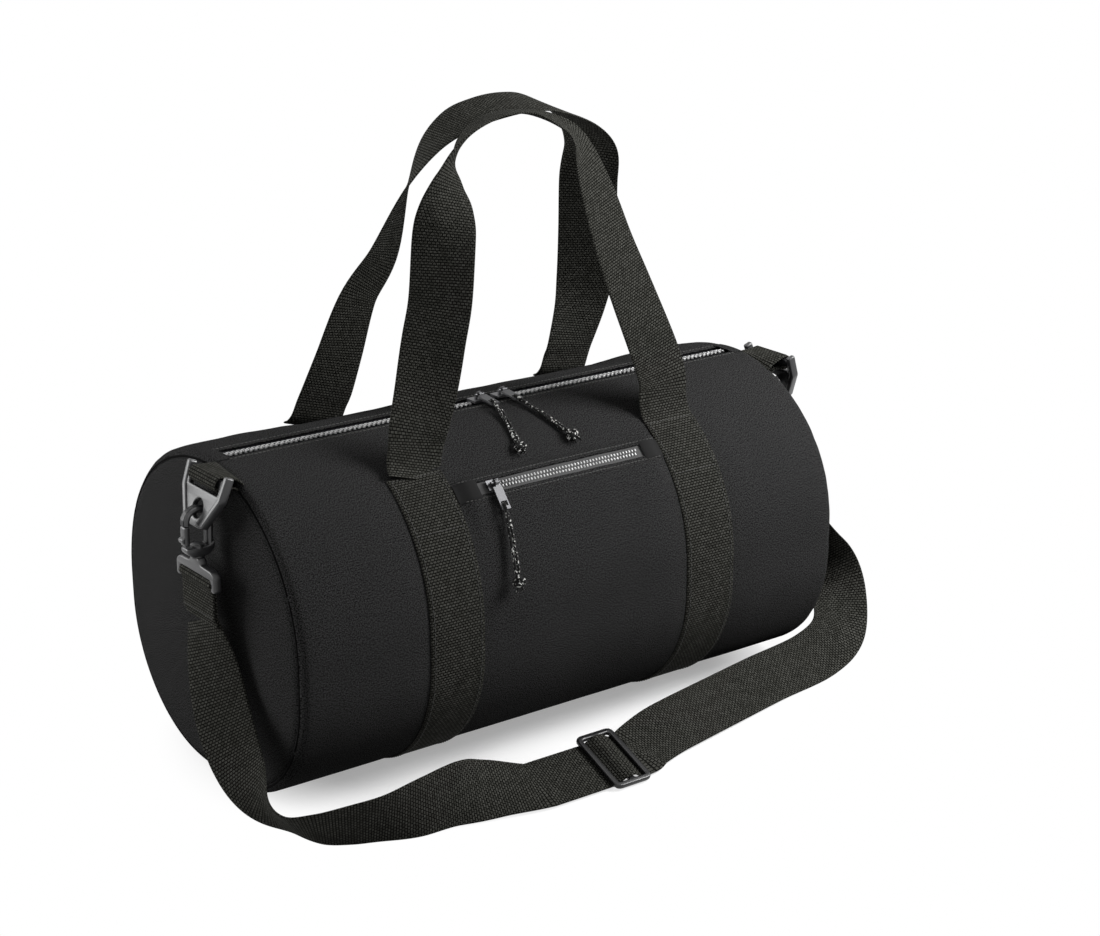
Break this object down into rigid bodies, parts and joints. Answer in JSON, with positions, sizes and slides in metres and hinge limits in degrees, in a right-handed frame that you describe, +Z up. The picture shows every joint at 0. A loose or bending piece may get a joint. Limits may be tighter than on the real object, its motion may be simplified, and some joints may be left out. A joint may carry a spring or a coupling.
{
  "type": "barrel bag",
  "caption": "Black barrel bag with two webbing handles, a full-length top zip, a zipped front pocket and a clip-on shoulder strap",
  "frame": {"origin": "On the floor below the middle of the bag", "axes": "+X along the bag to the right end, -Y to the front with the pocket, +Z up"},
  "size_m": [0.6077, 0.3257, 0.4799],
  "materials": {
    "canvas": "fine woven black canvas, matt",
    "binding": "thin black binding tape inside the end seams",
    "webbing": "ribbed black polyester webbing, matt",
    "zip_tape": "smooth black zip tape",
    "zip_teeth": "moulded black teeth that catch bright highlights",
    "zip_coil": "fine black nylon coil",
    "slider_metal": "dark gunmetal coating, half gloss",
    "pull_metal": "dark gunmetal coating, half gloss",
    "cord": "braided black cord with small pale flecks",
    "clip_plastic": "moulded black plastic with soft highlights"
  },
  "bodies": {
    "bag": {"base_seam_tape": "binding", "end_panel_left": "canvas", "end_panel_right": "canvas", "front_panel": "canvas", "main_zip_tape_front": "zip_tape", "main_zip_tape_rear": "zip_tape", "main_zip_teeth_front": "zip_teeth", "main_zip_teeth_rear": "zip_teeth", "pocket_facing": "canvas", "pocket_panel": "canvas", "pocket_zip_coil_lower": "zip_coil", "pocket_zip_coil_upper": "zip_coil", "pocket_zip_stop_left": "zip_tape", "pocket_zip_stop_right": "zip_tape", "pocket_zip_tape_lower": "zip_tape", "pocket_zip_tape_upper": "zip_tape", "rear_panel": "canvas", "ring_tab_left": "webbing", "ring_tab_right": "webbing", "seam_binding_left": "binding", "seam_binding_right": "binding", "strap_left": "webbing", "strap_middle": "webbing", "strap_right": "webbing", "webbing_strip_left": "webbing", "webbing_strip_right": "webbing"},
    "front_handle": {"front_handle": "webbing"},
    "rear_handle": {"rear_handle": "webbing"},
    "strap_adjuster": {"strap_adjuster": "clip_plastic"},
    "main_left_slider": {"main_left_slider": "slider_metal"},
    "main_left_pull": {"main_left_pull": "pull_metal", "main_left_cord": "cord", "main_left_knot": "cord"},
    "main_right_slider": {"main_right_slider": "slider_metal"},
    "main_right_pull": {"main_right_pull": "pull_metal", "main_right_cord": "cord", "main_right_knot": "cord"},
    "pocket_slider": {"pocket_slider": "slider_metal"},
    "pocket_pull": {"pocket_pull": "pull_metal", "pocket_cord": "cord", "pocket_knot": "cord"},
    "ring_left": {"ring_left": "clip_plastic"},
    "hook_left": {"hook_left": "clip_plastic"},
    "gate_left": {"gate_left": "clip_plastic"},
    "swivel_left": {"swivel_left": "clip_plastic", "strap_end_left": "webbing"},
    "ring_right": {"ring_right": "clip_plastic"},
    "hook_right": {"hook_right": "clip_plastic"},
    "gate_right": {"gate_right": "clip_plastic"},
    "swivel_right": {"swivel_right": "clip_plastic", "strap_end_right": "webbing"}
  },
  "joints": [
    {"name": "front_handle_fold", "type": "hinge", "parent": "bag", "child": "front_handle", "pos_m": [0, -0.07175, 0.23139], "axis": [1, 0, 0], "range_deg": [0, 105]},
    {"name": "rear_handle_fold", "type": "hinge", "parent": "bag", "child": "rear_handle", "pos_m": [0, 0.07175, 0.23139], "axis": [-1, 0, 0], "range_deg": [0, 105]},
    {"name": "main_left_slide", "type": "slide", "parent": "bag", "child": "main_left_slider", "axis": [-1, 0, 0], "range_m": [0, 0.2], "deforming": ["main_zip_tape_front", "main_zip_tape_rear", "main_zip_teeth_front", "main_zip_teeth_rear", "main_left_cord", "main_left_knot"]},
    {"name": "main_left_pull_lift", "type": "hinge", "parent": "main_left_slider", "child": "main_left_pull", "pos_m": [-0.011, 0, 0.2559], "axis": [-1, 0, 0], "range_deg": [0, 140]},
    {"name": "main_right_slide", "type": "slide", "parent": "bag", "child": "main_right_slider", "axis": [1, 0, 0], "range_m": [0, 0.2], "deforming": ["main_zip_tape_front", "main_zip_tape_rear", "main_zip_teeth_front", "main_zip_teeth_rear", "main_right_cord", "main_right_knot"]},
    {"name": "main_right_pull_lift", "type": "hinge", "parent": "main_right_slider", "child": "main_right_pull", "pos_m": [0.011, 0, 0.2559], "axis": [-1, 0, 0], "range_deg": [0, 140]},
    {"name": "pocket_slide", "type": "slide", "parent": "bag", "child": "pocket_slider", "axis": [1, 0, 0], "range_m": [0, 0.125], "deforming": ["pocket_zip_tape_upper", "pocket_zip_tape_lower", "pocket_zip_coil_upper", "pocket_zip_coil_lower", "pocket_cord", "pocket_knot"]},
    {"name": "pocket_pull_lift", "type": "hinge", "parent": "pocket_slider", "child": "pocket_pull", "pos_m": [-0.064, -0.09536, 0.22064], "axis": [-1, 0, 0], "range_deg": [0, 140]},
    {"name": "ring_swing_left", "type": "hinge", "parent": "bag", "child": "ring_left", "pos_m": [-0.264, -0.029, 0.246], "axis": [0, 1, 0], "range_deg": [0, 45], "deforming": ["strap_left"]},
    {"name": "hook_swing_left", "type": "hinge", "parent": "ring_left", "child": "hook_left", "pos_m": [-0.275, -0.029, 0.216], "axis": [0, 1, 0], "range_deg": [0, 35], "deforming": ["strap_left"]},
    {"name": "gate_open_left", "type": "hinge", "parent": "hook_left", "child": "gate_left", "pos_m": [-0.2842, -0.029, 0.2008], "axis": [0, 1, 0], "range_deg": [0, 26], "stiffness_Nm_per_rad": 0.02, "springref_deg": -11.46},
    {"name": "swivel_turn_left", "type": "hinge", "parent": "hook_left", "child": "swivel_left", "pos_m": [-0.275, -0.029, 0.198], "axis": [0, 0, 1], "range_deg": [-20, 20], "deforming": ["strap_left"]},
    {"name": "ring_swing_right", "type": "hinge", "parent": "bag", "child": "ring_right", "pos_m": [0.264, -0.029, 0.246], "axis": [0, -1, 0], "range_deg": [0, 45], "deforming": ["strap_right"]},
    {"name": "hook_swing_right", "type": "hinge", "parent": "ring_right", "child": "hook_right", "pos_m": [0.275, -0.029, 0.216], "axis": [0, -1, 0], "range_deg": [0, 35], "deforming": ["strap_right"]},
    {"name": "gate_open_right", "type": "hinge", "parent": "hook_right", "child": "gate_right", "pos_m": [0.2842, -0.029, 0.2008], "axis": [0, -1, 0], "range_deg": [0, 26], "stiffness_Nm_per_rad": 0.02, "springref_deg": -11.46},
    {"name": "swivel_turn_right", "type": "hinge", "parent": "hook_right", "child": "swivel_right", "pos_m": [0.275, -0.029, 0.198], "axis": [0, 0, 1], "range_deg": [-20, 20], "deforming": ["strap_right"]},
    {"name": "adjuster_slide", "type": "slide", "parent": "bag", "child": "strap_adjuster", "axis": [-1, 0, 0], "range_m": [0, 0.045], "deforming": ["strap_middle"]}
  ]
}
